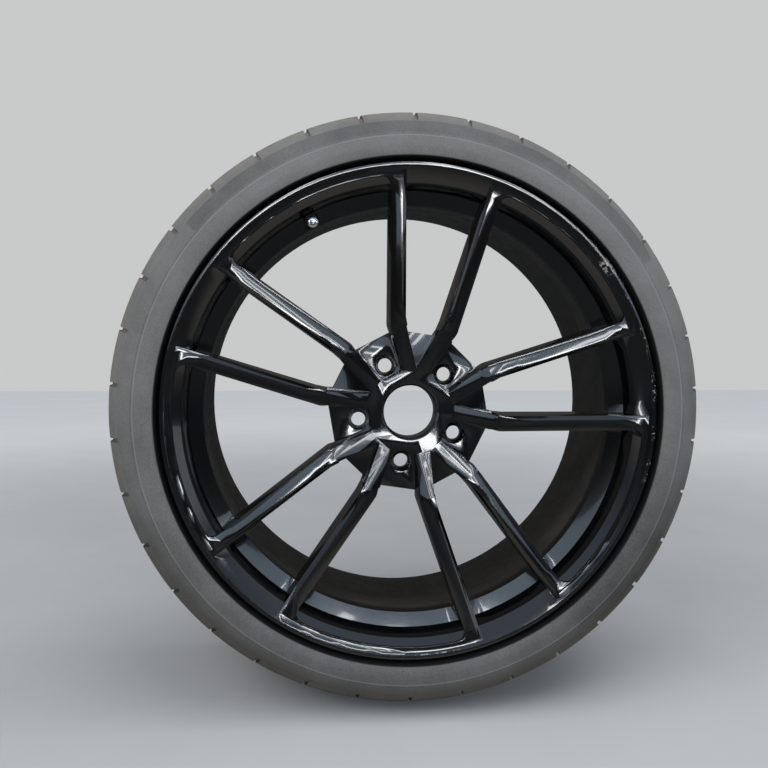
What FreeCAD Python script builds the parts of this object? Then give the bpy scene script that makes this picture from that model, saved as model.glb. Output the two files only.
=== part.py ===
"""A cast alloy car wheel with its tyre and valve.

The wheel's centre is the origin. The wheel turns about +Y, its outer face looks along -Y and +Z is up.
"""
import FreeCAD, Part
import math
import os
import re
import Sketcher
from FreeCAD import Placement, Rotation, Vector

doc = FreeCAD.newDocument("alloy_wheel")
sheet = doc.addObject("Spreadsheet::Sheet", "dim")

# Driving dimensions, in millimetres and degrees
SIZES = {
    # Rim section: a 7.5 inch wide, 19 inch rim
    "rim_width": 190.5,
    "bead_radius": 241.3,
    "bead_seat_width": 20,
    "bead_taper": 1.6,
    "flange_radius": 258.6,
    "flange_thickness": 12,
    "flange_edge": 2,
    "flange_curl": 6,
    "flange_rise": 7.6,
    "curl_radius": 9.5,
    "hump_height": 1.2,
    "hump_width": 5,
    "rim_wall": 5,
    "thin_lip": 5.5,
    "well_depth": 16.3,
    "well_front": 70.3,
    "well_back": 32.3,
    "well_slope": 4,
    "barrel_start": 15,
    "barrel_drop": 3.5,
    "barrel_flare": 0.5,
    "back_lip": 11,
    # Disc: hub, spokes and lip, measured forwards from the mounting face
    "wheel_offset": 45,
    "bore_radius": 28.55,
    "bore_edge": 2.5,
    "hub_height": 29,
    "hub_face_radius": 46,
    "hub_disc_radius": 83,
    "kink_radius": 94,
    "kink_height": 42,
    "lip_height": 60.3,
    "wide_lip": 13,
    "lip_overlap": 1,
    "lip_fall": 2,
    "lip_edge": 0.6,
    "lip_slope": 2,
    "hub_edge": 2,
    "spoke_back_height": 20,
    "draft_angle": 3,
    # Windows, as half widths at a height above the wheel's centre
    "narrow_kink_half": 21.5,
    "narrow_kink_height": 96,
    "narrow_root_height": 46,
    "narrow_rim_angle": 10.2,
    "wide_kink_half": 24.6,
    "wide_root_inset": 1,
    "wide_kink_height": 92.9,
    "wide_rim_angle": 22.3,
    "kink_rounding": 14,
    "window_rounding": 4,
    "wide_rounding": 9,
    "facet": 4,
    # Hub pockets and holes
    "spoke_count": 5,
    "bolt_circle": 112,
    "bolt_hole": 15.6,
    "bolt_seat_radius": 14,
    "bolt_seat_depth": 6.5,
    "pad_thickness": 13,
    "pad_root_half": 15,
    "pad_root_height": 41,
    "pad_rounding": 8,
    "notch_floor": 12,
    "notch_tip": 2,
    "valve_hole": 11.5,
    "valve_drill": 30,
    "photo_turn": 8.4,
    # Tyre
    "tyre_radius": 323.5,
    "crown_drop": 6.5,
    "tread_half": 71.3,
    "shoulder_radius": 303,
    "shoulder_half": 98.7,
    "shoulder_round": 60,
    "sidewall_round": 58,
    "section_half": 115.5,
    "protector_radius": 270,
    "protector_depth": 7,
    "protector_crest": 4,
    "protector_lean": 0.5,
    "clinch_gap": 1.5,
    "sidewall": 8,
    "tread_wall": 12,
    "inner_inset": 2,
    "bead_width": 18,
    "groove_width": 8.5,
    "groove_depth": 6,
    "groove_inner": 17,
    "groove_outer": 47,
    "notch_count": 34,
    "notch_angle": 0.8,
    "notch_depth": 4.5,
    "notch_start": 57,
    "notch_shoulder": 1,
    # Valve, measured along its stem from the rim's wall
    "valve_fit": 0.15,
    "valve_bulge": 7.2,
    "valve_bulge_height": 2.2,
    "valve_neck": 5.4,
    "valve_rubber_end": 4.9,
    "valve_rubber_length": 13,
    "valve_head": 7.6,
    "valve_head_length": 7,
    "stem_radius": 3.2,
    "stem_thread": 3.85,
    "stem_length": 21,
    "stem_bore": 2.35,
    "core_step": 0.25,
    "core_gap": 0.05,
    "core_length": 16,
    "core_sink": 1.5,
    "core_radius": 1.95,
    "core_head_length": 5,
    "core_bore": 1.6,
    "core_shelf": 1.3,
    "pin_radius": 0.6,
    "pin_gap": 0.2,
    "pin_sink": 0.1,
    "collar_radius": 1.4,
    "collar_drop": 0.4,
    "collar_thickness": 0.7,
    "foot_radius": 1.5,
    "foot_thickness": 0.8,
    "seat_radius": 1.75,
    "seat_thickness": 1.4,
    "spring_wire": 0.4,
    "spring_turns": 6,
    "gasket_length": 3,
    "gasket_drop": 1,
    "cap_radius": 5.4,
    "cap_dome": 2.2,
    "cap_wall": 1.8,
    "cap_gap": 0.2,
    "cap_lift": 0.3,
    "cap_seal": 1.2,
}
for row, (alias, value) in enumerate(SIZES.items(), start=1):
    sheet.set(f"A{row}", alias.replace("_", " "))
    sheet.set(f"B{row}", str(value))
    sheet.setAlias(f"B{row}", alias)
doc.recompute()


# Helpers for sketches and features
def bound(formula):
    """A formula in the sheet's words, as the other objects of the document read it."""
    return re.sub(r"[a-z]\w+(?!\w*\()", r"dim.\g<0>", formula)


def measure(formula):
    """The number that a formula in the sheet's words gives."""
    return float(sheet.evalExpression(bound(formula)))


def bind(target, **formulas):
    """Ties properties of an object to formulas in the sheet's words."""
    for name, formula in formulas.items():
        target.setExpression(name, bound(formula))


def new_body(label):
    body = doc.addObject("PartDesign::Body", label)
    body.Label = label
    return body


def new_sketch(body, name, role, lift="0", turn="0"):
    """An empty sketch on one of the body's own planes, lifted along its normal and turned about it."""
    sketch = body.newObject("Sketcher::SketchObject", name)
    plane = [item for item in body.Origin.OriginFeatures if item.Role == role]
    sketch.AttachmentSupport = (plane[0], "")
    sketch.MapMode = "FlatFace"
    sketch.AttachmentOffset = Placement(Vector(0, 0, 0), Rotation(Vector(0, 0, 1), measure(turn)))
    sketch.setExpression("AttachmentOffset.Base.z", bound(lift))
    return sketch


def fix_point(sketch, geometry, end, corner):
    """Holds a point of a sketch at a place given by two formulas."""
    for kind, formula in zip(("DistanceX", "DistanceY"), corner):
        index = sketch.addConstraint(
            Sketcher.Constraint(kind, -1, 1, geometry, end, measure(formula)))
        sketch.setExpression(f"Constraints[{index}]", bound(formula))


def hold_radius(sketch, geometry, radius):
    """Ties the radius of an arc or circle to a formula."""
    index = sketch.addConstraint(Sketcher.Constraint("Radius", geometry, measure(radius)))
    sketch.setExpression(f"Constraints[{index}]", bound(radius))


def bowed_arc(start, end, radius):
    """The shorter arc between two points. A positive radius bows it to the right of its direction."""
    chord = end - start
    across = Vector(chord.y, -chord.x, 0).normalize()
    rise = math.sqrt(radius ** 2 - (chord.Length / 2) ** 2)
    side = math.copysign(1, radius)
    top = (start + end) / 2 + across * side * (abs(radius) - rise)
    return Part.Arc(start, top, end)


def cut_back(edge, corner, distance):
    """An edge without the stretch next to one of its ends, and its direction away from that end."""
    first, last = edge.FirstParameter, edge.LastParameter
    at_start = (edge.valueAt(first) - corner).Length < (edge.valueAt(last) - corner).Length
    if at_start:
        return edge.Curve.toShape(edge.getParameterByLength(distance), last), edge.tangentAt(first)
    return edge.Curve.toShape(first, edge.getParameterByLength(edge.Length - distance)), -edge.tangentAt(last)


def rounded(before, after, corner, radius):
    """Two edges that meet at a corner, cut back, and an arc of the given radius between them."""
    ways = [cut_back(edge, corner, 0)[1] for edge in (before, after)]
    half = ways[0].getAngle(ways[1]) / 2
    distance = radius / math.tan(half)
    middle = corner + (ways[0] + ways[1]).normalize() * radius * (1 / math.sin(half) - 1)
    arc = Part.Arc(corner + ways[0] * distance, middle, corner + ways[1] * distance)
    shorter = [cut_back(edge, corner, distance)[0] for edge in (before, after)]
    return shorter[0], arc.toShape(), shorter[1]


def sketch_curve(edge):
    """The line or arc of an edge, as a sketch takes it."""
    ends = [vertex.Point for vertex in edge.Vertexes]
    if isinstance(edge.Curve, Part.Line):
        return Part.LineSegment(ends[0], ends[1])
    middle = edge.valueAt((edge.FirstParameter + edge.LastParameter) / 2)
    return Part.Arc(ends[0], middle, ends[1])


def end_at(sketch, geometry, point):
    """Which end of a sketch's curve, 1 or 2, lies nearer to a point."""
    gaps = [(sketch.getPoint(geometry, end) - point).Length for end in (1, 2)]
    return 1 if gaps[0] <= gaps[1] else 2


def outline(sketch, corners, bows=None, roundings=None):
    """A closed outline through corners given as formulas.

    A side in bows is an arc of that radius, and a corner in roundings is rounded to that radius.
    """
    bows = bows or {}
    roundings = roundings or {}
    count = len(corners)
    points = [Vector(measure(x), measure(y), 0) for x, y in corners]
    edges = []
    for index, start in enumerate(points):
        end = points[(index + 1) % count]
        if index in bows:
            edges.append(bowed_arc(start, end, measure(bows[index])).toShape())
        else:
            edges.append(Part.LineSegment(start, end).toShape())
    arcs = {}
    for index, radius in roundings.items():
        trimmed = rounded(edges[index - 1], edges[index], points[index], measure(radius))
        edges[index - 1], arcs[index], edges[index] = trimmed
    sides = [sketch.addGeometry(sketch_curve(edge), False) for edge in edges]
    for index, point in enumerate(points):
        before, after = sides[index - 1], sides[index]
        ends = end_at(sketch, before, point), end_at(sketch, after, point)
        if index in roundings:
            arc = sketch.addGeometry(sketch_curve(arcs[index]), False)
            corner = sketch.addGeometry(Part.Point(point), True)
            fix_point(sketch, corner, 1, corners[index])
            for side, end in zip((before, after), ends):
                sketch.addConstraint(Sketcher.Constraint("PointOnObject", corner, 1, side))
                meets = end_at(sketch, arc, sketch.getPoint(side, end))
                sketch.addConstraint(Sketcher.Constraint("Tangent", side, end, arc, meets))
            hold_radius(sketch, arc, roundings[index])
        else:
            fix_point(sketch, after, ends[1], corners[index])
            sketch.addConstraint(Sketcher.Constraint("Coincident", before, ends[0], after, ends[1]))
    for index, radius in bows.items():
        hold_radius(sketch, sides[index], radius.lstrip("-"))


def circle(sketch, corner, radius):
    """A circle whose centre and radius are formulas."""
    centre = Vector(measure(corner[0]), measure(corner[1]), 0)
    ring = sketch.addGeometry(Part.Circle(centre, Vector(0, 0, 1), measure(radius)), False)
    fix_point(sketch, ring, 3, corner)
    hold_radius(sketch, ring, radius)


def turned(body, sketch, kind="Revolution", angle=360):
    """Turns a sketch about its vertical axis, as metal added or, for a Groove, as metal cut away."""
    feature = body.newObject(f"PartDesign::{kind}", sketch.Name + "_turned")
    feature.Profile = sketch
    feature.ReferenceAxis = (sketch, ["V_Axis"])
    feature.Angle = angle
    return feature


def cut_in(body, sketch, depth, draft="0"):
    """Cuts a sketch into the wheel from its own plane, towards the far side of its normal."""
    feature = body.newObject("PartDesign::Pocket", sketch.Name + "_cut")
    feature.Profile = sketch
    bind(feature, Length=depth, TaperAngle=draft)
    return feature


def round_the_wheel(body, feature, count="spoke_count"):
    """Repeats a feature round the wheel's axis."""
    pattern = body.newObject("PartDesign::PolarPattern", feature.Name + "_round")
    pattern.Originals = [feature]
    axis = [item for item in body.Origin.OriginFeatures if item.Role == "Y_Axis"]
    pattern.Axis = (axis[0], [""])
    pattern.Angle = 360
    bind(pattern, Occurrences=count)
    body.Tip = pattern
    return pattern


def mirrored(corners):
    """The corners of a half outline, followed by their mirror images in the vertical axis."""
    return corners + [(f"-({x})", y) for x, y in reversed(corners)]


def edges_near(shape, wanted):
    """Names of the edges whose middle point passes a test."""
    names = []
    for index, edge in enumerate(shape.Edges, start=1):
        middle = edge.valueAt((edge.FirstParameter + edge.LastParameter) / 2)
        if wanted(edge, middle):
            names.append(f"Edge{index}")
    return names


# The alloy wheel: hub, spokes and rim in one casting
wheel = new_body("alloy_wheel")
FRONT = "rim_width / 2 + flange_thickness"
HALF_STEP = "180 / spoke_count"
WELL = "(bead_radius - well_depth)"
BARREL = "(bead_radius - rim_wall)"
LIP_OUTER = "flange_radius - thin_lip + lip_overlap"

disc = new_sketch(wheel, "disc", "XY_Plane")
outline(disc, [
    ("bore_radius", "-(wheel_offset + hub_height - bore_edge)"),
    ("bore_radius + bore_edge", "-(wheel_offset + hub_height)"),
    ("hub_face_radius", "-(wheel_offset + hub_height)"),
    ("kink_radius", "-(wheel_offset + kink_height)"),
    ("flange_radius - wide_lip", "-(wheel_offset + lip_height - lip_fall)"),
    (LIP_OUTER, "-(wheel_offset + lip_height)"),
    (LIP_OUTER, "-(rim_width / 2 + flange_thickness / 2)"),
    ("bead_radius - rim_wall / 2", "-(rim_width / 2)"),
    ("bead_radius - rim_wall / 2", "-(well_front + well_slope / 2)"),
    (f"{WELL} - rim_wall / 2", "-(well_front - rim_wall)"),
    (f"{WELL} - rim_wall / 2", "-(wheel_offset + spoke_back_height)"),
    ("hub_disc_radius", "-(wheel_offset + hub_edge)"),
    ("hub_disc_radius - hub_edge", "-wheel_offset"),
    ("bore_radius", "-wheel_offset"),
])
turned(wheel, disc)

wide = new_sketch(wheel, "wide_window", "XZ_Plane", FRONT, f"-{HALF_STEP}")
WIDE_RIM = "(flange_radius - wide_lip)"
outline(wide, mirrored([
    ("wide_kink_half - wide_root_inset", "hub_disc_radius"),
    ("wide_kink_half", "wide_kink_height"),
    (f"{WIDE_RIM} * sin(wide_rim_angle)", f"{WIDE_RIM} * cos(wide_rim_angle)"),
]), bows={2: WIDE_RIM}, roundings={1: "kink_rounding", 2: "wide_rounding", 3: "wide_rounding",
                                  4: "kink_rounding"})
round_the_wheel(wheel, cut_in(wheel, wide, FRONT, "-draft_angle"))

narrow = new_sketch(wheel, "narrow_window", "XZ_Plane", FRONT)
NARROW_RIM = "(flange_radius - thin_lip)"
ROOT_SPREAD = "narrow_kink_half / (narrow_kink_height - narrow_root_height)"
outline(narrow, mirrored([
    (f"(hub_disc_radius - narrow_root_height) * {ROOT_SPREAD}", "hub_disc_radius"),
    ("narrow_kink_half", "narrow_kink_height"),
    (f"{NARROW_RIM} * sin(narrow_rim_angle)", f"{NARROW_RIM} * cos(narrow_rim_angle)"),
]), bows={2: NARROW_RIM}, roundings={2: "window_rounding", 3: "window_rounding"})
round_the_wheel(wheel, cut_in(wheel, narrow, FRONT, "-draft_angle"))

rim = new_sketch(wheel, "rim", "XY_Plane")
outline(rim, [
    (NARROW_RIM, f"-({FRONT} - lip_edge)"),
    ("flange_radius - flange_edge", f"-({FRONT})"),
    ("flange_radius", f"-({FRONT} - flange_edge)"),
    ("flange_radius", "-(rim_width / 2 + flange_curl)"),
    ("flange_radius - flange_rise", "-(rim_width / 2)"),
    ("bead_radius", "-(rim_width / 2)"),
    ("bead_radius - bead_taper", "-(rim_width / 2 - bead_seat_width)"),
    ("bead_radius - bead_taper + hump_height", "-(rim_width / 2 - bead_seat_width - hump_width / 2)"),
    ("bead_radius - bead_taper", "-(well_front + well_slope - rim_wall)"),
    (WELL, "-(well_front - rim_wall)"),
    (WELL, "-(well_back - rim_wall)"),
    (f"{BARREL} - barrel_drop + rim_wall", "barrel_start"),
    ("bead_radius - bead_taper", "rim_width / 2 - bead_seat_width"),
    ("bead_radius", "rim_width / 2"),
    ("flange_radius - flange_rise", "rim_width / 2"),
    ("flange_radius", "rim_width / 2 + flange_curl"),
    ("flange_radius", f"{FRONT} - flange_edge"),
    ("flange_radius - flange_edge", FRONT),
    ("flange_radius - back_lip", FRONT),
    (f"{BARREL} + barrel_flare", "rim_width / 2"),
    (f"{BARREL} - barrel_drop", "barrel_start"),
    (f"{WELL} - rim_wall", "-well_back"),
    (f"{WELL} - rim_wall", "-well_front"),
    (f"{BARREL} - bead_taper", "-(well_front + well_slope)"),
    (f"{BARREL} + lip_slope", "-(rim_width / 2)"),
], bows={3: "curl_radius", 14: "curl_radius"})
turned(wheel, rim)


# Hub: bolt pads, bolt holes with ball seats, and the notch at the root of each pair of spokes
NOTCH_END = "hub_disc_radius + pad_rounding"
pad = new_sketch(wheel, "bolt_pad", "XZ_Plane", FRONT, f"-{HALF_STEP}")
outline(pad, mirrored([
    ("pad_root_half", "pad_root_height"),
    ("wide_kink_half - wide_root_inset", NOTCH_END),
]), roundings={0: "pad_rounding", 3: "pad_rounding"})
round_the_wheel(wheel, cut_in(wheel, pad, f"{FRONT} - wheel_offset - pad_thickness", "-draft_angle"))

notch = new_sketch(wheel, "spoke_notch", "XZ_Plane", FRONT)
outline(notch, mirrored([
    (f"notch_tip * {ROOT_SPREAD}", "narrow_root_height + notch_tip"),
    (f"({NOTCH_END} - narrow_root_height) * {ROOT_SPREAD}", NOTCH_END),
]))
round_the_wheel(wheel, cut_in(wheel, notch, f"{FRONT} - wheel_offset - notch_floor"))

bolts = new_sketch(wheel, "bolt_hole", "XZ_Plane", FRONT, f"-{HALF_STEP}")
circle(bolts, ("0", "bolt_circle / 2"), "bolt_hole / 2")
round_the_wheel(wheel, cut_in(wheel, bolts, FRONT))

seat = wheel.newObject("PartDesign::SubtractiveSphere", "bolt_seat")
SEAT_LIFT = "(wheel_offset + pad_thickness + bolt_seat_radius - bolt_seat_depth)"
bind(seat, Radius="bolt_seat_radius")
seat.setExpression("Placement.Base.x", bound(f"bolt_circle / 2 * sin({HALF_STEP})"))
seat.setExpression("Placement.Base.y", bound(f"-{SEAT_LIFT}"))
seat.setExpression("Placement.Base.z", bound(f"bolt_circle / 2 * cos({HALF_STEP})"))
round_the_wheel(wheel, seat)

# The valve's own frame: its seat on the rim's well slope, and its stem along +Z
VALVE_ANGLE = -math.radians(measure(HALF_STEP))
tilt = math.atan2(measure("well_slope"), measure("well_depth - bead_taper"))
outwards = Vector(math.sin(VALVE_ANGLE), 0, math.cos(VALVE_ANGLE))
stem_way = outwards * -math.sin(tilt) - Vector(0, 1, 0) * math.cos(tilt)
seat_radius = measure(f"({WELL} + bead_radius - bead_taper) / 2 - rim_wall")
seat_place = outwards * seat_radius - Vector(0, 1, 0) * measure("well_front + well_slope / 2")
valve_frame = Placement(seat_place, Rotation(Vector(0, 0, 1), stem_way))

hole = wheel.newObject("PartDesign::SubtractiveCylinder", "valve_hole")
bind(hole, Radius="valve_hole / 2", Height="valve_drill")
hole.Placement = valve_frame * Placement(Vector(0, 0, -measure("valve_drill / 2")), Rotation())
wheel.Tip = hole
doc.recompute()


# The facet along the edges of each narrow window, on the front of its two spokes
def on_narrow_edge(edge, middle):
    """True for the front edges of the narrow windows, outside the hub."""
    radius = math.hypot(middle.x, middle.z)
    if not measure("kink_radius + facet") < radius < measure(f"{NARROW_RIM} - facet"):
        return False
    step = 360 / measure("spoke_count")
    angle = abs((math.degrees(math.atan2(middle.x, middle.z)) + step / 2) % step - step / 2)
    across = radius * math.sin(math.radians(angle))
    reach = (radius - measure("narrow_kink_height")) / (measure(NARROW_RIM) - measure("narrow_kink_height"))
    rim_half = measure(f"{NARROW_RIM} * sin(narrow_rim_angle)")
    edge_half = measure("narrow_kink_half") + reach * (rim_half - measure("narrow_kink_half"))
    near_edge = abs(across - edge_half) < measure("facet")
    in_front = middle.y < -measure("wheel_offset + kink_height - 2 * facet")
    return near_edge and in_front and edge.Length > measure("kink_radius / 2")


facet = wheel.newObject("PartDesign::Chamfer", "facet")
facet.Base = (hole, edges_near(wheel.Shape, on_narrow_edge))
bind(facet, Size="facet")
wheel.Tip = facet
wheel.Placement = Placement(Vector(0, 0, 0), Rotation(Vector(0, 1, 0), measure("photo_turn")))
doc.recompute()


# The tyre: one moulding, with its tread grooves and the notches round its shoulders
def both_sides(corners):
    """The corners of the tyre's outer half section, followed by their mirror images on its inner side."""
    return corners + [(x, f"-({y})") for x, y in reversed(corners)]


tyre = new_body("tyre")
TOE = "bead_radius - bead_taper * bead_width / bead_seat_width"
OUTSIDE = both_sides([
    (TOE, "-(rim_width / 2 - bead_width)"),
    ("bead_radius", "-(rim_width / 2)"),
    ("flange_radius - flange_rise", "-(rim_width / 2)"),
    ("flange_radius + clinch_gap", "-(rim_width / 2 + flange_curl / 3)"),
    ("protector_radius - protector_depth", f"-({FRONT})"),
    ("protector_radius - protector_crest", "-(section_half - protector_lean)"),
    ("protector_radius", "-section_half"),
    ("shoulder_radius", "-shoulder_half"),
    ("tyre_radius - crown_drop", "-tread_half"),
])
INSIDE = list(reversed(both_sides([
    ("bead_radius + sidewall", "-(rim_width / 2 - bead_width)"),
    ("flange_radius - inner_inset", "-(rim_width / 2 - sidewall)"),
    ("protector_radius + sidewall", "-(section_half - sidewall)"),
    ("shoulder_radius - inner_inset", "-(shoulder_half - sidewall)"),
    ("tyre_radius - crown_drop - tread_wall", "-(tread_half - inner_inset)"),
])))
section = new_sketch(tyre, "tyre_section", "XY_Plane")
outline(section, OUTSIDE + INSIDE, bows={
    6: "sidewall_round",
    7: "shoulder_round",
    8: "(tread_half ^ 2 + crown_drop ^ 2) / (2 * crown_drop)",
    9: "shoulder_round",
    10: "sidewall_round",
})
turned(tyre, section)

CROWN = "tyre_radius - crown_drop * ({0} / tread_half) ^ 2"
grooves = new_sketch(tyre, "tread_grooves", "XY_Plane")
for place in ("groove_inner", "groove_outer"):
    floor = CROWN.format(place) + " - groove_depth"
    for side in ("", "-"):
        near, far = f"{side}({place} - groove_width / 2)", f"{side}({place} + groove_width / 2)"
        outline(grooves, [
            (floor, near),
            ("tyre_radius + groove_depth", near),
            ("tyre_radius + groove_depth", far),
            (floor, far),
        ])
turned(tyre, grooves, "Groove")

notches = new_sketch(tyre, "shoulder_notches", "XY_Plane")
for side in ("", "-"):
    outline(notches, [
        ("tyre_radius + notch_depth", f"{side}notch_start"),
        (CROWN.format("notch_start") + " - notch_depth", f"{side}notch_start"),
        ("tyre_radius - crown_drop - notch_depth", f"{side}(tread_half - notch_shoulder)"),
        ("shoulder_radius - notch_depth", f"{side}(shoulder_half + notch_depth)"),
        ("tyre_radius + notch_depth", f"{side}(shoulder_half + notch_depth)"),
    ])
slits = turned(tyre, notches, "Groove")
bind(slits, Angle="notch_angle")
slits.Midplane = True
round_the_wheel(tyre, slits, "notch_count")


# The valve: pieces turned about the stem, in the valve's own frame
WELL_RISE = "(well_depth - bead_taper)"
WALL_HERE = f"(rim_wall * (well_slope + {WELL_RISE}) / sqrt(well_slope ^ 2 + {WELL_RISE} ^ 2))"
VALVE_FOOT = f"-({WALL_HERE} + valve_head_length)"
CORE_TOP = "(stem_length - core_sink)"
CORE_FOOT = "(stem_length - core_sink - core_length)"
CORE_NECK = "(stem_length - core_sink - core_head_length)"
SEAT_TOP = f"({CORE_FOOT} - core_gap)"
SEAT_FOOT = f"({CORE_FOOT} - core_gap - seat_thickness)"
COLLAR_TOP = f"({CORE_NECK} - collar_drop)"
COLLAR_FOOT = f"({CORE_NECK} - collar_drop - collar_thickness)"
CAP_BORE = "stem_thread + cap_gap"
CAP_ROOF = "(stem_length + cap_lift + cap_seal)"
PIN_HOLE = "pin_radius + pin_gap"


def ring_corners(inner, outer, low, high):
    """The section of a plain ring between two radii and two heights."""
    return [(inner, low), (outer, low), (outer, high), (inner, high)]


def valve_piece(label, corners, bows=None):
    """A piece turned about the valve's stem."""
    body = new_body(label)
    sketch = new_sketch(body, label + "_section", "XZ_Plane")
    outline(sketch, corners, bows)
    turned(body, sketch)
    body.Placement = wheel.Placement * valve_frame
    return body


valve_pieces = [
    valve_piece("valve_body", [
        ("stem_radius", VALVE_FOOT),
        ("valve_head - valve_bulge_height", VALVE_FOOT),
        ("valve_head", f"-({WALL_HERE} + valve_head_length / 2)"),
        ("valve_head", f"-({WALL_HERE} + valve_fit)"),
        ("valve_hole / 2 - valve_fit", f"-({WALL_HERE} + valve_fit)"),
        ("valve_hole / 2 - valve_fit", "valve_fit"),
        ("valve_bulge", "valve_fit"),
        ("valve_bulge", "valve_bulge_height"),
        ("valve_neck", "2 * valve_bulge_height"),
        ("valve_rubber_end", "valve_rubber_length"),
        ("stem_radius", "valve_rubber_length"),
    ]),
    valve_piece("valve_stem", [
        ("stem_bore", VALVE_FOOT),
        ("stem_radius", VALVE_FOOT),
        ("stem_radius", "valve_rubber_length"),
        ("stem_thread", "valve_rubber_length"),
        ("stem_thread", "stem_length"),
        ("stem_bore + core_step", "stem_length"),
        ("stem_bore + core_step", CORE_NECK),
        ("stem_bore", CORE_NECK),
    ]),
    valve_piece("valve_core", [
        (PIN_HOLE, CORE_FOOT),
        ("core_radius", CORE_FOOT),
        ("core_radius", CORE_NECK),
        ("stem_bore + core_step - core_gap", CORE_NECK),
        ("stem_bore + core_step - core_gap", CORE_TOP),
        (PIN_HOLE, CORE_TOP),
        (PIN_HOLE, CORE_NECK),
        ("core_bore", CORE_NECK),
        ("core_bore", f"{CORE_FOOT} + core_shelf"),
        (PIN_HOLE, f"{CORE_FOOT} + core_shelf"),
    ]),
    valve_piece("core_gasket", ring_corners(
        "core_radius", "stem_bore",
        f"{CORE_NECK} - gasket_drop - gasket_length", f"{CORE_NECK} - gasket_drop")),
    valve_piece("core_pin", [
        ("0", f"{SEAT_FOOT} - foot_thickness"),
        ("foot_radius", f"{SEAT_FOOT} - foot_thickness"),
        ("foot_radius", SEAT_FOOT),
        ("pin_radius", SEAT_FOOT),
        ("pin_radius", COLLAR_FOOT),
        ("collar_radius", COLLAR_FOOT),
        ("collar_radius", COLLAR_TOP),
        ("pin_radius", COLLAR_TOP),
        ("pin_radius", "stem_length - pin_sink"),
        ("0", "stem_length - pin_sink"),
    ]),
    valve_piece("core_seat", ring_corners("pin_radius", "seat_radius", SEAT_FOOT, SEAT_TOP)),
    valve_piece("valve_cap", [
        (CAP_BORE, "valve_rubber_length + cap_lift"),
        ("cap_radius", "valve_rubber_length + cap_lift"),
        ("cap_radius", f"{CAP_ROOF} + cap_wall - cap_dome"),
        ("0", f"{CAP_ROOF} + cap_wall"),
        ("0", CAP_ROOF),
        (CAP_BORE, CAP_ROOF),
    ], bows={2: "(cap_radius ^ 2 + cap_dome ^ 2) / (2 * cap_dome)"}),
    valve_piece("cap_seal", ring_corners("0", CAP_BORE, "stem_length + cap_lift", CAP_ROOF)),
]

# The core's coil spring, between the barrel's shelf and the pin's collar
SPRING_MEAN = "(pin_radius + core_bore) / 2"
SPRING_LOW = f"({CORE_FOOT} + core_shelf + spring_wire / 2 + core_gap)"
SPRING_HIGH = f"({COLLAR_FOOT} - spring_wire / 2 - core_gap)"
coil = doc.addObject("Part::Helix", "spring_coil")
bind(coil, Radius=SPRING_MEAN, Height=f"{SPRING_HIGH} - {SPRING_LOW}")
bind(coil, Pitch=f"({SPRING_HIGH} - {SPRING_LOW}) / spring_turns")
wire = doc.addObject("Part::Circle", "spring_wire_section")
bind(wire, Radius="spring_wire / 2")
wire.Placement = Placement(Vector(measure(SPRING_MEAN), 0, 0), Rotation(Vector(1, 0, 0), 90))
spring = doc.addObject("Part::Sweep", "core_spring")
spring.Label = "core_spring"
spring.Sections = [wire]
spring.Spine = coil
spring.Solid = True
spring.Frenet = True
lift = Placement(Vector(0, 0, measure(SPRING_LOW)), Rotation())
spring.Placement = wheel.Placement * valve_frame * lift

# Checks, and one file for each piece
doc.recompute()
for item in doc.Objects:
    if "Invalid" in item.State or "Error" in item.State:
        raise RuntimeError(f"{item.Name}: {item.State}")
os.makedirs("parts", exist_ok=True)
pieces = [wheel, tyre, spring] + valve_pieces
for piece in pieces:
    if piece.Shape.isNull() or not piece.Shape.isValid():
        raise RuntimeError(f"{piece.Label} has no valid shape")
for piece in pieces:
    piece.Shape.exportStep(f"parts/{piece.Label}.step")
    print(piece.Label, len(piece.Shape.Solids), round(piece.Shape.Volume, 2))
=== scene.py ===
# %% [markdown]
# A gloss black alloy wheel with a low-profile tyre, standing on a pale floor.
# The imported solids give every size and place. Blender adds what the eye sees: soft edges that catch
# the light, the moulded sidewall and tread, the paint, the dust and the scuffs of a used wheel.

# %% Load the frame
import math

import bpy
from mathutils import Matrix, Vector


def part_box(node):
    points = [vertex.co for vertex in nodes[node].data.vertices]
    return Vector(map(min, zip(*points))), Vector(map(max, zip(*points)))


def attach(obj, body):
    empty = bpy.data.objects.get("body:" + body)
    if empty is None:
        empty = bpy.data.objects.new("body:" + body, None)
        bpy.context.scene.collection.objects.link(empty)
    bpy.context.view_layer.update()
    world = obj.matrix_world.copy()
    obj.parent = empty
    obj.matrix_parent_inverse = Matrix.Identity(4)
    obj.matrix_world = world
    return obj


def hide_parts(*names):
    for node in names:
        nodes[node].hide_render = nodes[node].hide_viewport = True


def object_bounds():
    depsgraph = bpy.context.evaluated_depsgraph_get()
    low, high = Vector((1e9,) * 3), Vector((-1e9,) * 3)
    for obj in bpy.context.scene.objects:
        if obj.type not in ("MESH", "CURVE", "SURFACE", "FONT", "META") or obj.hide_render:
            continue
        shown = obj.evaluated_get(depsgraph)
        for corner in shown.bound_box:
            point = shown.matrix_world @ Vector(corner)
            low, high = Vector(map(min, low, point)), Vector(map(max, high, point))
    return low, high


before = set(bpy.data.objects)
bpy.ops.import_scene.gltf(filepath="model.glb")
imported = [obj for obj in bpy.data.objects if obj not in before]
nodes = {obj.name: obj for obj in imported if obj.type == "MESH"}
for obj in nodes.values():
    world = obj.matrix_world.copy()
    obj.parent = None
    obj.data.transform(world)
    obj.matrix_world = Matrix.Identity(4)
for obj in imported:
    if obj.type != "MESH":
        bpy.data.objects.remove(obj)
cad_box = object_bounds()
WHEEL = "wheel"
MM = 0.001
print("nodes", sorted(nodes))

# %% [markdown]
# Operators act on whatever is selected, so each piece starts from an empty selection, and leaves
# edit mode when it is done. These helpers do what a hand would do with the mouse.


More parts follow.
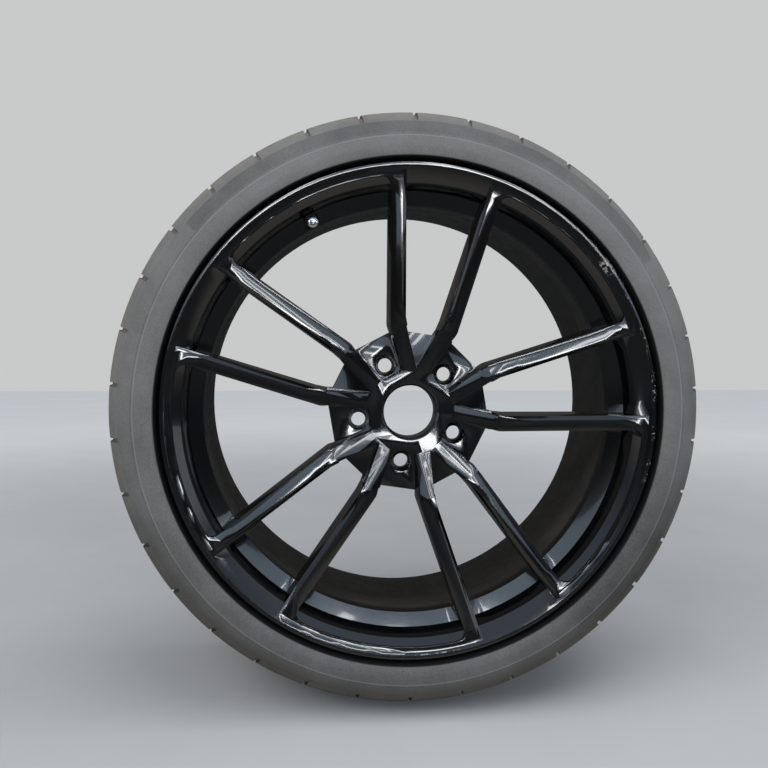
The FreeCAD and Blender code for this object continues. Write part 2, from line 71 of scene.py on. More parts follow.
# %% Small helpers for modelling by hand
def select_only(obj):
    """Makes one object the only selected one, and the active one."""
    bpy.ops.object.select_all(action="DESELECT")
    obj.select_set(True)
    bpy.context.view_layer.objects.active = obj


def in_edit_mode(obj, select_all=False):
    """Opens an object for editing, with all of its mesh selected or none of it."""
    select_only(obj)
    bpy.ops.object.mode_set(mode="EDIT")
    bpy.ops.mesh.select_all(action="SELECT" if select_all else "DESELECT")


def leave_edit_mode():
    bpy.ops.object.mode_set(mode="OBJECT")


def edit_faces(obj, wanted):
    """Opens an object for editing, with only the faces selected that pass a test."""
    in_edit_mode(obj)
    bpy.ops.mesh.select_mode(type="FACE")
    leave_edit_mode()
    for face in obj.data.polygons:
        face.select = wanted(face)
    bpy.ops.object.mode_set(mode="EDIT")


def apply_modifier(obj, kind, **values):
    """Adds a modifier with the given values and applies it."""
    select_only(obj)
    modifier = obj.modifiers.new(kind.lower(), kind)
    for name, value in values.items():
        setattr(modifier, name, value)
    bpy.ops.object.modifier_apply(modifier=modifier.name)


def copy_of_node(node, name):
    """A copy of a solid's mesh as a piece of its own, with its loose triangles joined up."""
    piece = bpy.data.objects.new(name, nodes[node].data.copy())
    bpy.context.scene.collection.objects.link(piece)
    in_edit_mode(piece, select_all=True)
    bpy.ops.mesh.remove_doubles(threshold=0.00001)
    leave_edit_mode()
    return piece


# %% [markdown]
# The wheel is one casting, and its form comes from the solid. A real casting has no knife edges:
# under paint every edge is a small round that draws a bright line. So a copy of the solid is joined up,
# its flat triangles are dissolved into whole faces, and a bevel rounds each sharp edge.

# %% Alloy wheel with rounded edges
EDGE_ROUND = 1.1 * MM
FLAT = math.radians(0.6)
SHARP = math.radians(24)
SMOOTH = math.radians(32)

alloy = copy_of_node("alloy_wheel", "alloy_wheel_skin")
apply_modifier(alloy, "DECIMATE", decimate_type="DISSOLVE", angle_limit=FLAT)

# The front of each spoke leans away from the middle of its pair
LEAN = 2.6 * MM
PAIRS = 5
PAIR_TURN = math.radians(8.4)
NARROW_HALF = (21.5 * MM, 44.8 * MM)
NARROW_REACH = (96 * MM, 249 * MM)
FRONT_LINE = ((46 * MM, 74 * MM), (94 * MM, 87 * MM), (245.6 * MM, 103.3 * MM))
FRONT_SLACK = 0.6 * MM
SPOKE_INSET = 3 * MM
SPOKE_WIDTH = 17 * MM
LEAN_GROWS = (62 * MM, 92 * MM)
LEAN_ENDS = (228 * MM, 244 * MM)


def along(value, start, end):
    """How far a value is from start to end, from 0 to 1."""
    return min(1.0, max(0.0, (value - start) / (end - start)))


def front_depth(radius):
    """How far the front of the disc stands out at a radius."""
    for (r0, d0), (r1, d1) in zip(FRONT_LINE, FRONT_LINE[1:]):
        if r0 <= radius <= r1:
            return d0 + (d1 - d0) * along(radius, r0, r1)
    return 0.0


def lean_of(point):
    """How much of the lean a point of the disc's front takes, from 0 to 1."""
    radius = math.hypot(point.x, point.z)
    if abs(front_depth(radius) + point.y) > FRONT_SLACK:
        return 0.0
    share = 2 * math.pi / PAIRS
    turn = (math.atan2(point.x, point.z) - PAIR_TURN + share / 2) % share - share / 2
    off_middle = radius * math.sin(abs(turn))
    reach = (radius * math.cos(turn) - NARROW_REACH[0]) / (NARROW_REACH[1] - NARROW_REACH[0])
    edge = NARROW_HALF[0] + (NARROW_HALF[1] - NARROW_HALF[0]) * reach
    across = along(off_middle, edge + SPOKE_INSET, edge + SPOKE_WIDTH)
    return across * along(radius, *LEAN_GROWS) * (1 - along(radius, *LEAN_ENDS))


# Cuts across the front of each pair, so that the lean runs evenly from the kink to the rim
CUTS = 9
CUT_REACH = (90 * MM, 232 * MM)
CUT_SLACK = 3 * MM
PAIR_REACH = (60 * MM, 246 * MM)
PAIR_HALF = 75 * MM
FACING_FRONT = -0.9


def on_front_of_pair(face, way):
    """True for a face on the front of the pair of spokes that points along a direction."""
    centre = face.center
    on_pair = PAIR_REACH[0] < centre.dot(way) < PAIR_REACH[1] and abs(centre.cross(way).y) < PAIR_HALF
    off_front = abs(front_depth(math.hypot(centre.x, centre.z)) + centre.y)
    return on_pair and off_front < CUT_SLACK and face.normal.y < FACING_FRONT


for pair in range(PAIRS):
    middle = PAIR_TURN + pair * 2 * math.pi / PAIRS
    way = Vector((math.sin(middle), 0, math.cos(middle)))
    for cut in range(CUTS):
        edit_faces(alloy, lambda face: on_front_of_pair(face, way))
        place_of_cut = CUT_REACH[0] + cut * (CUT_REACH[1] - CUT_REACH[0]) / (CUTS - 1)
        bpy.ops.mesh.bisect(plane_co=way * place_of_cut, plane_no=way)
        leave_edit_mode()

leaning = alloy.vertex_groups.new(name="leaning")
for vertex in alloy.data.vertices:
    amount = lean_of(vertex.co)
    if amount > 0:
        leaning.add([vertex.index], amount, "REPLACE")
apply_modifier(alloy, "DISPLACE", direction="Y", mid_level=0.0, strength=LEAN, vertex_group="leaning")
apply_modifier(alloy, "BEVEL", width=EDGE_ROUND, segments=2, limit_method="ANGLE", angle_limit=SHARP,
               harden_normals=False, use_clamp_overlap=True)
select_only(alloy)
bpy.ops.object.shade_smooth_by_angle(angle=SMOOTH)
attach(alloy, WHEEL)
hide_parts("alloy_wheel")
print("alloy wheel faces", len(alloy.data.polygons))

# %% [markdown]
# The tyre is a moulding of revolution. One point is drawn along the section by extruding it from
# corner to corner, and the finished section is spun about the axle. The section has the ridges that the
# mould leaves on the sidewall. Each shoulder notch is a strip of faces pushed in.

# %% Tyre section
tyre_low, tyre_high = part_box("tyre")
TYRE_RADIUS = tyre_high.z
SECTION_HALF = (tyre_high.y - tyre_low.y) / 2
BEAD_RADIUS = 241.3 * MM
BEAD_HALF = 95.25 * MM
BEAD_TOE = (239.86 * MM, 77.25 * MM)
FLANGE_TOP = (251.0 * MM, BEAD_HALF)
CLINCH = (260.1 * MM, 97.25 * MM)
PROTECTOR_FOOT = (261.2 * MM, 106.5 * MM)
PROTECTOR_CREST = ((261.6 * MM, 112.6 * MM), (262.4 * MM, 114.1 * MM), (264.2 * MM, 114.8 * MM))
WIDEST = (270.0 * MM, SECTION_HALF)
SHOULDER = (303.0 * MM, 98.7 * MM)
TREAD_FALL = 6.5 * MM
TREAD_EDGE = (TYRE_RADIUS - TREAD_FALL, 71.3 * MM)
SIDEWALL_ROUND = 58 * MM
SIDEWALL_STEPS = 22
SHOULDER_ROUND = 60 * MM
SHOULDER_STEPS = 12
CROWN_ROUND = (TREAD_EDGE[1] ** 2 + TREAD_FALL ** 2) / (2 * TREAD_FALL)
GROOVES = (17 * MM, 47 * MM)
GROOVE_HALF = 4.25 * MM
GROOVE_DEPTH = 6 * MM
GROOVE_TAPER = 0.6 * MM
RIB_HEIGHT = 0.55 * MM
RIB_WAY = Vector((0.3, 0.95))
RIBS = {7: 1, 8: 1, 18: -1, 19: -1}
INNER_OUTLINE = ((TREAD_EDGE[0] - 12 * MM, 69.3 * MM), (SHOULDER[0] - 2 * MM, 90.7 * MM),
                 (278 * MM, SECTION_HALF - 8 * MM), (256.6 * MM, 87.25 * MM), (249.3 * MM, 77.25 * MM))


def arc_points(start, end, radius, count):
    """Points along the arc between two section points, bowed away from the tyre's inside."""
    first, last = Vector(start), Vector(end)
    chord = last - first
    across = Vector((-chord.y, chord.x)).normalized()
    if across.dot(first + last) < 0:
        across = -across
    depth = math.sqrt(radius ** 2 - (chord.length / 2) ** 2)
    centre = (first + last) / 2 - across * depth
    a, b = first - centre, last - centre
    turn = a.angle_signed(b)
    points = []
    for step in range(1, count + 1):
        angle = -turn * step / count
        points.append(centre + Vector((a.x * math.cos(angle) - a.y * math.sin(angle),
                                       a.x * math.sin(angle) + a.y * math.cos(angle))))
    return points


def crown_radius(y):
    """The tread's radius at a distance from the middle of the tyre."""
    return TYRE_RADIUS - CROWN_ROUND + math.sqrt(CROWN_ROUND ** 2 - y ** 2)


def sidewall():
    """The outer section from the bead to the tread's edge, with the ribs that the mould leaves."""
    points = [Vector(p) for p in (BEAD_TOE, (BEAD_RADIUS, BEAD_HALF), FLANGE_TOP, CLINCH, PROTECTOR_FOOT)]
    points += [Vector(p) for p in PROTECTOR_CREST] + [Vector(WIDEST)]
    for index, point in enumerate(arc_points(WIDEST, SHOULDER, SIDEWALL_ROUND, SIDEWALL_STEPS)):
        points.append(point + RIB_WAY * (RIBS.get(index, 0) * RIB_HEIGHT))
    points += arc_points(SHOULDER, TREAD_EDGE, SHOULDER_ROUND, SHOULDER_STEPS)
    return points


def half_tread():
    """From the tread's edge to the middle, down into each groove and up again."""
    points = []
    for place in reversed(GROOVES):
        outer, inner = place + GROOVE_HALF, place - GROOVE_HALF
        floor = crown_radius(place) - GROOVE_DEPTH
        points += [Vector((crown_radius(outer), outer)), Vector((floor, outer - GROOVE_TAPER))]
        points += [Vector((floor, inner + GROOVE_TAPER)), Vector((crown_radius(inner), inner))]
    return points


def other_side(points):
    """The same points on the other side of the tyre, in the opposite order."""
    return [Vector((p.x, -p.y)) for p in reversed(points)]


outer_half = sidewall() + half_tread()
inner_half = [Vector(point) for point in INNER_OUTLINE]
section = outer_half + [Vector((TYRE_RADIUS, 0))] + other_side(outer_half) + other_side(inner_half) + inner_half
print("tyre section points", len(section))

# %% Spin the tyre
NOTCHES = 34
STEPS_PER_NOTCH = 13
SPIN_STEPS = NOTCHES * STEPS_PER_NOTCH

bpy.ops.object.select_all(action="DESELECT")
bpy.ops.mesh.primitive_plane_add(size=MM, location=(0, 0, 0))
tyre = bpy.context.object
tyre.name = "tyre_moulding"
in_edit_mode(tyre)
bpy.ops.mesh.select_mode(type="VERT")
bpy.ops.mesh.select_all(action="SELECT")
bpy.ops.mesh.merge(type="CENTER")
here = Vector((0, 0, 0))
for point in section:
    there = Vector((0, -point.y, point.x))
    if here.length == 0:
        bpy.ops.transform.translate(value=there)
    else:
        bpy.ops.mesh.extrude_region_move(TRANSFORM_OT_translate={"value": there - here})
    here = there
bpy.ops.mesh.select_all(action="SELECT")
bpy.ops.mesh.edge_face_add()
bpy.ops.mesh.delete(type="ONLY_FACE")
bpy.ops.mesh.select_all(action="SELECT")
bpy.ops.mesh.spin(steps=SPIN_STEPS, angle=2 * math.pi, center=(0, 0, 0), axis=(0, 1, 0))
bpy.ops.mesh.select_all(action="SELECT")
bpy.ops.mesh.remove_doubles(threshold=0.00002)
bpy.ops.mesh.normals_make_consistent(inside=False)
leave_edit_mode()

# %% Shoulder notches
NOTCH_DEPTH = 3.0 * MM
NOTCH_START = 57 * MM
NOTCH_END = 101 * MM
NOTCH_FOOT = 300 * MM
NOTCH_FALL = 24 * MM
STRIP_SLACK = 0.001
FACING_OUT = 0.05
TYRE_SMOOTH = math.radians(35)


def in_a_notch(face):
    """True for an outer face of a shoulder in the one strip of each notch's share that is pushed in."""
    centre = face.center
    radius = math.hypot(centre.x, centre.z)
    step = 2 * math.pi / SPIN_STEPS
    strip = math.floor(math.atan2(centre.x, centre.z) / step + STRIP_SLACK) % STEPS_PER_NOTCH
    on_shoulder = NOTCH_START < abs(centre.y) < NOTCH_END and radius > NOTCH_FOOT
    outside = radius > crown_radius(min(abs(centre.y), TREAD_EDGE[1])) - NOTCH_FALL
    looks_out = face.normal.dot(Vector((centre.x, 0, centre.z)).normalized()) > FACING_OUT
    return strip == 0 and on_shoulder and outside and looks_out


edit_faces(tyre, in_a_notch)
bpy.ops.mesh.extrude_region_shrink_fatten(TRANSFORM_OT_shrink_fatten={"value": -NOTCH_DEPTH})
leave_edit_mode()
select_only(tyre)
bpy.ops.object.shade_smooth_by_angle(angle=TYRE_SMOOTH)
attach(tyre, WHEEL)
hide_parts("tyre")
print("tyre faces", len(tyre.data.polygons))

# %% [markdown]
# Materials are built from nodes on Object coordinates. Two groups serve several finishes: one turns a
# point into its radius, depth and angle on the wheel, the other gives a patchy mask for dirt and wear.


# %% Node helpers and shared groups
def add(tree, kind, **inputs):
    """Adds a node and sets the inputs that are plain values."""
    node = tree.nodes.new(kind)
    for name, value in inputs.items():
        node.inputs[name.replace("_", " ")].default_value = value
    return node


def maths(tree, operation, first, second=None):
    """A Math node whose inputs are sockets or numbers."""
    node = tree.nodes.new("ShaderNodeMath")
    node.operation = operation
    for slot, value in zip(node.inputs, (first, second)):
        if value is None:
            continue
        if isinstance(value, (int, float)):
            slot.default_value = value
        else:
            tree.links.new(value, slot)
    return node.outputs[0]


def times(tree, first, second):
    return maths(tree, "MULTIPLY", first, second)


def plus(tree, first, second):
    return maths(tree, "ADD", first, second)


def minus(tree, first, second):
    return maths(tree, "SUBTRACT", first, second)


def larger(tree, first, second):
    return maths(tree, "MAXIMUM", first, second)


def fade(tree, value, low, high, start=0.0, end=1.0):
    """A smooth step of a value between two limits."""
    node = tree.nodes.new("ShaderNodeMapRange")
    node.interpolation_type = "SMOOTHSTEP"
    for name, number in zip(("From Min", "From Max", "To Min", "To Max"), (low, high, start, end)):
        node.inputs[name].default_value = number
    tree.links.new(value, node.inputs["Value"])
    return node.outputs["Result"]


def between(tree, value, low, high, soft):
    """A mask that is 1 between two limits and fades out past them."""
    return times(tree, fade(tree, value, low - soft, low + soft),
                 fade(tree, value, high - soft, high + soft, 1.0, 0.0))


def mix_colour(tree, mask, first, second):
    """Mixes two colours, each a socket or a value, by a mask."""
    node = tree.nodes.new("ShaderNodeMix")
    node.data_type = "RGBA"
    tree.links.new(mask, node.inputs[0])
    for slot, value in zip((node.inputs[6], node.inputs[7]), (first, second)):
        if isinstance(value, tuple):
            slot.default_value = (*value, 1.0)
        else:
            tree.links.new(value, slot)
    return node.outputs[2]


def new_group(name, inputs, outputs):
    """A shader group with float inputs, given as a name and value, and float outputs."""
    tree = bpy.data.node_groups.new(name, "ShaderNodeTree")
    for label, value in inputs.items():
        socket = tree.interface.new_socket(label, in_out="INPUT", socket_type="NodeSocketFloat")
        socket.default_value = value
    for label in outputs:
        tree.interface.new_socket(label, in_out="OUTPUT", socket_type="NodeSocketFloat")
    return tree, tree.nodes.new("NodeGroupInput"), tree.nodes.new("NodeGroupOutput")


place_group, _, place_out = new_group("place_on_wheel", {}, ("Radius", "Depth", "Angle"))
place_coords = add(place_group, "ShaderNodeTexCoord")
place_split = add(place_group, "ShaderNodeSeparateXYZ")
place_group.links.new(place_coords.outputs["Object"], place_split.inputs[0])
across, depth, up = place_split.outputs
squares = plus(place_group, times(place_group, across, across), times(place_group, up, up))
place_group.links.new(maths(place_group, "SQRT", squares), place_out.inputs["Radius"])
place_group.links.new(depth, place_out.inputs["Depth"])
angle = maths(place_group, "DEGREES", maths(place_group, "ARCTAN2", across, up))
place_group.links.new(angle, place_out.inputs["Angle"])

patch_group, patch_in, patch_out = new_group(
    "patches", {"Scale": 40.0, "Low": 0.45, "High": 0.6, "Rough": 0.6}, ("Mask",))
patch_coords = add(patch_group, "ShaderNodeTexCoord")
patch_noise = add(patch_group, "ShaderNodeTexNoise", Detail=6.0)
patch_range = patch_group.nodes.new("ShaderNodeMapRange")
patch_range.interpolation_type = "SMOOTHSTEP"
patch_group.links.new(patch_coords.outputs["Object"], patch_noise.inputs["Vector"])
patch_group.links.new(patch_in.outputs["Scale"], patch_noise.inputs["Scale"])
patch_group.links.new(patch_in.outputs["Rough"], patch_noise.inputs["Roughness"])
patch_group.links.new(patch_noise.outputs["Fac"], patch_range.inputs["Value"])
patch_group.links.new(patch_in.outputs["Low"], patch_range.inputs["From Min"])
patch_group.links.new(patch_in.outputs["High"], patch_range.inputs["From Max"])
patch_group.links.new(patch_range.outputs["Result"], patch_out.inputs["Mask"])


def place(tree):
    """Radius, depth and angle on the wheel, as sockets."""
    node = tree.nodes.new("ShaderNodeGroup")
    node.node_tree = place_group
    return node.outputs["Radius"], node.outputs["Depth"], node.outputs["Angle"]


def patches(tree, scale, low, high, rough=0.6):
    """A patchy mask, as a socket."""
    node = tree.nodes.new("ShaderNodeGroup")
    node.node_tree = patch_group
    for name, value in zip(("Scale", "Low", "High", "Rough"), (scale, low, high, rough)):
        node.inputs[name].default_value = value
    return node.outputs["Mask"]


def new_material(name, **plain):
    """A material with one Principled shader, its plain inputs set."""
    material = bpy.data.materials.new(name)
    material.use_nodes = True
    tree = material.node_tree
    shader = tree.nodes["Principled BSDF"]
    for label, value in plain.items():
        shader.inputs[label.replace("_", " ")].default_value = value
    return material, tree, shader


def bump(tree, shader, height, strength, distance):
    """Feeds a height through a Bump node to the shader's normal."""
    node = add(tree, "ShaderNodeBump", Strength=strength, Distance=distance)
    tree.links.new(height, node.inputs["Height"])
    tree.links.new(node.outputs["Normal"], shader.inputs["Normal"])


def dress(obj, material):
    """Gives a piece one material all over."""
    obj.data.materials.clear()
    obj.data.materials.append(material)


# %% [markdown]
# The wheel is painted gloss black under a clear coat. Brake dust has dulled the barrel behind the
# spokes to a matt brown-grey, a thin film of dust lies on the rest, and the lip is scuffed by kerbs.
# Angles are in degrees, clockwise from the top.

# %% Wheel paint
BLACK = (0.0020, 0.0022, 0.0028)
BRAKE_DUST = (0.100, 0.090, 0.076)
BARE_ALLOY = (0.66, 0.66, 0.65)
BARREL_DEPTH = (-62 * MM, -52 * MM)
BARREL_RADIUS = (205 * MM, 216 * MM)
LIP_DEPTH = (-99 * MM, -101.5 * MM)
LIP_EDGE = (252.8 * MM, 254.5 * MM)
LIP_FACE = (247.5 * MM, 250.5 * MM)
SIDE_SCUFFS = (34.0, 104.0)
DEEP_MARK = (51.0, 54.5)
FOOT_SCRAPE = (169.5, 180.0)
FOOT_BAND = (251.9 * MM, 252.7 * MM)

paint, tree, shader = new_material("gloss_black_paint", Specular_IOR_Level=0.5, Coat_Roughness=0.04)
radius, depth, angle = place(tree)
barrel = times(tree, fade(tree, depth, *BARREL_DEPTH), fade(tree, radius, *BARREL_RADIUS))
caked = times(tree, patches(tree, 34.0, 0.35, 0.65), patches(tree, 150.0, 0.25, 0.75))
barrel = times(tree, barrel, plus(tree, 0.45, times(tree, 0.55, caked)))
film = times(tree, patches(tree, 9.0, 0.4, 0.8), 0.02)
specks = times(tree, patches(tree, 420.0, 0.68, 0.74), 0.25)
dusty = larger(tree, larger(tree, film, specks), barrel)

on_lip = fade(tree, depth, *LIP_DEPTH)
at_edge = times(tree, fade(tree, radius, *LIP_EDGE), on_lip)
at_face = times(tree, fade(tree, radius, *LIP_FACE), on_lip)
at_foot = times(tree, between(tree, radius, *FOOT_BAND, 0.4 * MM), 0.45)
side_scuffs = times(tree, between(tree, angle, *SIDE_SCUFFS, 8.0), at_edge)
deep_mark = times(tree, times(tree, between(tree, angle, *DEEP_MARK, 0.8), at_face), 0.6)
foot_scrape = times(tree, between(tree, angle, *FOOT_SCRAPE, 2.0), at_foot)
scratched = times(tree, patches(tree, 330.0, 0.55, 0.60, 0.75), patches(tree, 40.0, 0.50, 0.58))
light_scuff = times(tree, times(tree, side_scuffs, scratched), 0.6)
heavy_scuff = times(tree, larger(tree, deep_mark, foot_scrape), patches(tree, 210.0, 0.47, 0.55, 0.7))
scuff = larger(tree, light_scuff, heavy_scuff)

colour = mix_colour(tree, dusty, BLACK, BRAKE_DUST)
tree.links.new(mix_colour(tree, scuff, colour, BARE_ALLOY), shader.inputs["Base Color"])
worn = larger(tree, times(tree, barrel, 0.75), times(tree, scuff, 0.6))
tree.links.new(fade(tree, worn, 0.0, 0.8, 0.10, 0.75), shader.inputs["Roughness"])
coat = fade(tree, larger(tree, barrel, scuff), 0.0, 0.6, 1.0, 0.0)
tree.links.new(coat, shader.inputs["Coat Weight"])
bump(tree, shader, patches(tree, 900.0, 0.2, 0.8), 0.04, 0.4 * MM)
dress(alloy, paint)

# %% [markdown]
#  The tyre's rubber is black underneath and grey with dust, lighter towards the top and darker and browner
#  towards the foot. On the sidewall the mould's rib has a painted highlight with a painted shadow beside it,
#  a panel is darker, one stretch is wiped darker, the gap by the rim's lip is painted shade, and the
#  shoulders and the tread hold dirt from the road.

# %% Tyre rubber
RUBBER = (0.040, 0.039, 0.038)
DUST = (0.245, 0.239, 0.229)
ROAD_DIRT = (0.27, 0.235, 0.185)
FOOT_DARK_BROWN = (0.080, 0.070, 0.052)
# Painted shade: a near-black band where the tyre meets the rim's lip
GAP_PAINTED_SHADE = (0.006, 0.006, 0.006)
GAP_SHADE_BAND = (261.3 * MM, 262.2 * MM)
# Painted highlight on the mould's rib, and painted shadow beside it
RIB_PAINTED_HIGHLIGHT = (281.2 * MM, 282.2 * MM)
RIB_PAINTED_SHADOW = (283.2 * MM, 283.8 * MM)
RING_SOFT = 0.3 * MM
PANEL_BAND = (284.5 * MM, 299.5 * MM)
PANEL_TURN = (-50.0, 57.0)
WIPED_BAND = (306 * MM, 296 * MM)
WIPED_TURN = (108.0, 138.0)
LOW_EDGE_BAND = (278 * MM, 298 * MM)
SHOULDER_BAND = (298 * MM, 314 * MM)

rubber, tree, shader = new_material("dusty_rubber", Specular_IOR_Level=0.3)
radius, depth, angle = place(tree)
upward = maths(tree, "COSINE", maths(tree, "RADIANS", angle))
cloud = patches(tree, 14.0, 0.25, 0.75)
grain = patches(tree, 700.0, 0.3, 0.7)
# The dust is lighter towards the top
lighter_towards_top = fade(tree, upward, -0.6, 0.8)
panel = times(tree, between(tree, radius, *PANEL_BAND, 0.5 * MM), between(tree, angle, *PANEL_TURN, 0.4))
# A darker panel of the rubber, plus the rib's painted shadow and painted highlight
panel_and_rib_shading = larger(tree, panel, times(tree, between(tree, radius, *RIB_PAINTED_SHADOW, RING_SOFT), 1.2))
panel_and_rib_shading = minus(tree, panel_and_rib_shading, times(tree, between(tree, radius, *RIB_PAINTED_HIGHLIGHT, RING_SOFT), 1.3))
wiped = times(tree, between(tree, angle, *WIPED_TURN, 14.0), fade(tree, radius, *WIPED_BAND))
# The outer sidewall is darker and browner towards the foot
low_edge = times(tree, fade(tree, radius, *LOW_EDGE_BAND), fade(tree, upward, 0.0, -0.8))
# Painted shade in the gap by the lip: no dust there, and the colour turns near-black
clear_of_gap_shade = fade(tree, radius, *GAP_SHADE_BAND)

dust = plus(tree, 0.24, times(tree, cloud, 0.25))
for layer, share in ((grain, 0.22), (lighter_towards_top, 0.22), (wiped, -0.30), (low_edge, -0.16), (panel_and_rib_shading, -0.25)):
    dust = plus(tree, dust, times(tree, layer, share))
dust = times(tree, dust, clear_of_gap_shade)

shoulder = times(tree, fade(tree, radius, *SHOULDER_BAND), patches(tree, 60.0, 0.3, 0.65))
shoulder = times(tree, shoulder, fade(tree, upward, -0.9, 0.5, 0.25, 0.75))
# Near-black painted shade in the gap by the lip, then the dusty rubber
colour = mix_colour(tree, clear_of_gap_shade, GAP_PAINTED_SHADE, mix_colour(tree, dust, RUBBER, DUST))
colour = mix_colour(tree, shoulder, colour, ROAD_DIRT)
colour = mix_colour(tree, times(tree, low_edge, 0.55), colour, FOOT_DARK_BROWN)
tree.links.new(colour, shader.inputs["Base Color"])
tree.links.new(fade(tree, dust, 0.0, 1.0, 0.62, 0.92), shader.inputs["Roughness"])
bump(tree, shader, plus(tree, grain, patches(tree, 120.0, 0.3, 0.7)), 0.15, 0.6 * MM)
dress(tyre, rubber)


# %% [markdown]
# The valve keeps its solids, and only their finishes are set. Each varies in fine patches between two
# tones, one a little rougher than the other.


# %% Valve finishes
def patchy_finish(name, patch, tones, roughness, **plain):
    """A finish that varies in patches between two tones and two roughnesses."""
    material, tree, shader = new_material(name, **plain)
    wear = patches(tree, *patch)
    tree.links.new(mix_colour(tree, wear, *tones), shader.inputs["Base Color"])
    tree.links.new(fade(tree, wear, 0.0, 1.0, *roughness), shader.inputs["Roughness"])
    return material


cap_metal = patchy_finish("bright_cap", (900.0, 0.35, 0.75), ((0.78, 0.79, 0.80), (0.55, 0.55, 0.55)),
                          (0.16, 0.34), Metallic=1.0)
brass = patchy_finish("turned_brass", (600.0, 0.3, 0.7), ((0.62, 0.45, 0.18), (0.42, 0.30, 0.13)),
                      (0.25, 0.45), Metallic=1.0)
steel = patchy_finish("spring_wire", (1200.0, 0.3, 0.7), ((0.55, 0.55, 0.56), (0.38, 0.38, 0.39)),
                      (0.25, 0.4), Metallic=1.0)
soft_black = patchy_finish("valve_rubber", (300.0, 0.35, 0.75), ((0.012, 0.012, 0.012), (0.05, 0.048, 0.045)),
                           (0.5, 0.75), Specular_IOR_Level=0.4)

FINISHES = {
    "valve_cap": cap_metal, "valve_stem": brass, "valve_core": brass, "core_pin": brass, "core_spring": steel,
    "valve_body": soft_black, "core_gasket": soft_black, "core_seat": soft_black, "cap_seal": soft_black,
}
for node, material in FINISHES.items():
    for slot in nodes[node].material_slots:
        slot.material = material

# %% [markdown]
# The stage is a pale floor that fades into a plain backdrop. In the paint's mirror the floor is darker,
# but for the strip by the wheel, so that the black stays black.

# %% Floor
FLOOR_LEVEL = cad_box[0][2]
FLOOR_SIDE = 12.0
FLOOR_TONES = ((0.62, 0.61, 0.59), (0.66, 0.65, 0.63))
MIRRORED_TONES = ((0.07, 0.07, 0.068), (0.42, 0.38, 0.32))
WHEEL_STRIP = (-0.48, 0.04)
WHEEL_STRIP_SOFT = 0.18
FAR_REACH = (0.6, 3.0)
FAR_GLOW = 0.42
BACKDROP = (0.78, 0.785, 0.79)

bpy.ops.object.select_all(action="DESELECT")
bpy.ops.mesh.primitive_plane_add(size=FLOOR_SIDE, location=(0, 0, FLOOR_LEVEL))
floor = bpy.context.object
floor.name = "floor"

pale, tree, shader = new_material("pale_floor", Roughness=0.75, Specular_IOR_Level=0.2)
floor_coords = add(tree, "ShaderNodeTexCoord").outputs["Object"]
floor_split = add(tree, "ShaderNodeSeparateXYZ")
floor_reach = add(tree, "ShaderNodeVectorMath")
floor_reach.operation = "LENGTH"
tree.links.new(floor_coords, floor_split.inputs[0])
tree.links.new(floor_coords, floor_reach.inputs[0])
in_mirror = add(tree, "ShaderNodeLightPath").outputs["Is Glossy Ray"]
by_the_wheel = between(tree, floor_split.outputs["Y"], *WHEEL_STRIP, WHEEL_STRIP_SOFT)
floor_colour = mix_colour(tree, patches(tree, 3.0, 0.3, 0.7), *FLOOR_TONES)
mirrored = mix_colour(tree, by_the_wheel, *MIRRORED_TONES)
tree.links.new(mix_colour(tree, in_mirror, floor_colour, mirrored), shader.inputs["Base Color"])
far_glow = fade(tree, floor_reach.outputs["Value"], *FAR_REACH, 0.0, FAR_GLOW)
far_glow = times(tree, far_glow, minus(tree, 1.0, in_mirror))
tree.links.new(far_glow, shader.inputs["Emission Strength"])
shader.inputs["Emission Color"].default_value = (*BACKDROP, 1.0)
dress(floor, pale)

# %% [markdown]
# Soft light comes from a pale sky and two large lamps, which the paint doesn't mirror. What it mirrors is
# a blue pane with white bars behind the camera, and thin strips that draw the bright lines on its edges.

# %% Sky
HORIZON = (0.05, 0.05, 0.052)
ZENITH = (0.60, 0.72, 0.90)
SIDE_GLOW = (1.0, 1.1, 1.2)
SKY_BEHIND = (0.07, 0.068, 0.065)
SKY_STRENGTH = 0.75

world = bpy.data.worlds.new("soft_sky")
bpy.context.scene.world = world
world.use_nodes = True
sky = world.node_tree
sky_coords = sky.nodes.new("ShaderNodeTexCoord")
sky_split = sky.nodes.new("ShaderNodeSeparateXYZ")
sky.links.new(sky_coords.outputs["Generated"], sky_split.inputs[0])
height = fade(sky, sky_split.outputs["Z"], 0.02, 0.7)
sideways = fade(sky, maths(sky, "ABSOLUTE", sky_split.outputs["X"]), 0.86, 0.94)
behind = fade(sky, sky_split.outputs["Y"], -0.05, 0.35)
seen_directly = add(sky, "ShaderNodeLightPath").outputs["Is Camera Ray"]
sky_colour = mix_colour(sky, height, HORIZON, ZENITH)
sky_colour = mix_colour(sky, sideways, sky_colour, SIDE_GLOW)
sky_colour = mix_colour(sky, behind, sky_colour, SKY_BEHIND)
sky_colour = mix_colour(sky, seen_directly, sky_colour, BACKDROP)
sky.links.new(sky_colour, sky.nodes["Background"].inputs["Color"])
sky.nodes["Background"].inputs["Strength"].default_value = SKY_STRENGTH


# %% Lamps
def lamp(name, place_at, aim, size, power, colour):
    """A rectangular lamp that looks at a point."""
    bpy.ops.object.light_add(type="AREA", location=place_at)
    light = bpy.context.object
    light.name = name
    light.data.shape = "RECTANGLE"
    light.data.size, light.data.size_y = size
    light.data.energy = power
    light.data.color = colour
    light.rotation_euler = (Vector(aim) - Vector(place_at)).to_track_quat("-Z", "Y").to_euler()
    return light


COOL_WHITE = (0.97, 0.99, 1.0)
PANE_BLUE = (0.66, 0.82, 1.0)

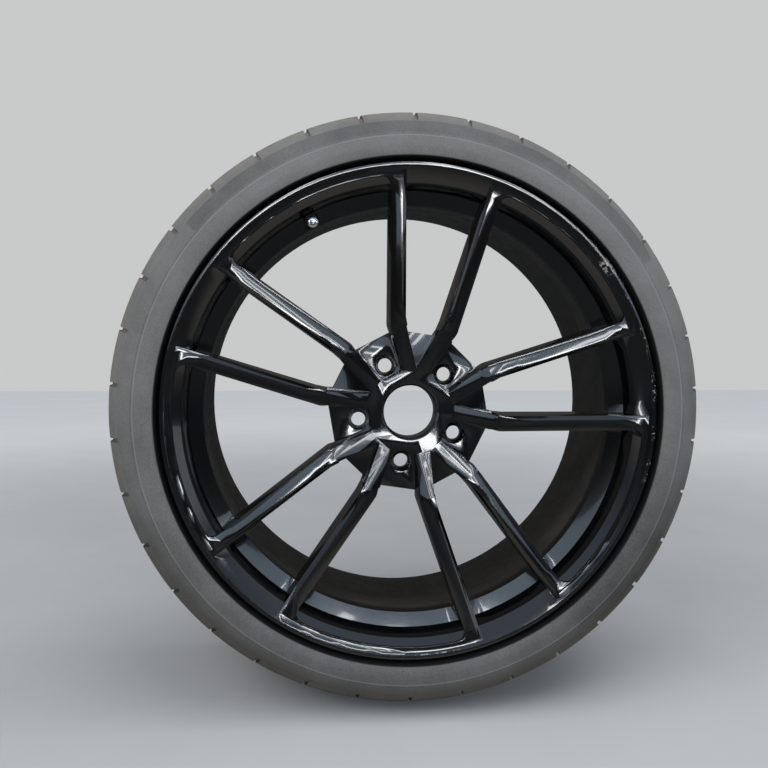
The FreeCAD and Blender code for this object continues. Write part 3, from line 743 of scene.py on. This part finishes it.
window = lamp("window", (-1.5, -1.6, 1.9), (0, 0, 0), (2.0, 1.6), 26, (1.0, 0.98, 0.95))
window.visible_glossy = False
skylight = lamp("skylight", (0.7, -0.6, 2.2), (0, 0.1, 0), (2.4, 1.6), 24, (1.0, 0.99, 0.97))
skylight.visible_glossy = False
lamp("pale_pane", (0.25, -2.65, 0.62), (0.25, 0, 0.62), (2.3, 1.2), 9.5, PANE_BLUE)

# The middle and width of each white bar before the pane
BARS = {"bar_left": (-0.11, 0.10), "bar_middle": (0.36, 0.12), "bar_right": (0.67, 0.09)}
BAR_DEPTH = -2.6
BAR_HEIGHT = 0.55
BAR_LENGTH = 0.95
BAR_POWER = 25
for name, (middle, width) in BARS.items():
    lamp(name, (middle, BAR_DEPTH, BAR_HEIGHT), (middle, 0, BAR_HEIGHT), (width, BAR_LENGTH),
         BAR_POWER * width, COOL_WHITE)

# The place and size of each strip, which only mirrors show
STRIPS = {
    "strip_high": ((0.0, -2.6, 1.55), (3.2, 0.08)), "strip_low": ((0.22, -2.58, 0.15), (0.62, 0.14)),
    "strip_left": ((-2.3, -1.9, 0.3), (0.08, 1.8)), "strip_right": ((2.3, -1.9, 0.3), (0.08, 1.8)),
}
STRIP_POWER = 45.0
for name, (place_at, size) in STRIPS.items():
    power = STRIP_POWER * size[0] * size[1]
    strip = lamp(name, place_at, (0, 0, place_at[2]), size, power, COOL_WHITE)
    strip.visible_diffuse = False

# %% [markdown]
# The camera stands at the photo's angle, with the photo's field of view.

# %% Camera
PHOTO_SIDE = 768
FOCAL_PIXELS = 692.5
SENSOR_WIDTH = 36.0
CAMERA_PLACE = (-0.0799, -0.8125, 0.0652)
CAMERA_YAW = math.radians(3.98)
CAMERA_PITCH = math.radians(-2.71)
CAMERA_ROLL = math.radians(-0.13)

camera_data = bpy.data.cameras.new("camera")
camera_data.sensor_width = SENSOR_WIDTH
camera_data.lens = FOCAL_PIXELS / PHOTO_SIDE * SENSOR_WIDTH
camera = bpy.data.objects.new("camera", camera_data)
bpy.context.scene.collection.objects.link(camera)
camera.location = CAMERA_PLACE
camera.rotation_euler = (math.pi / 2 + CAMERA_PITCH, CAMERA_ROLL, -CAMERA_YAW)
bpy.context.scene.camera = camera
bpy.context.scene.view_settings.view_transform = "Standard"
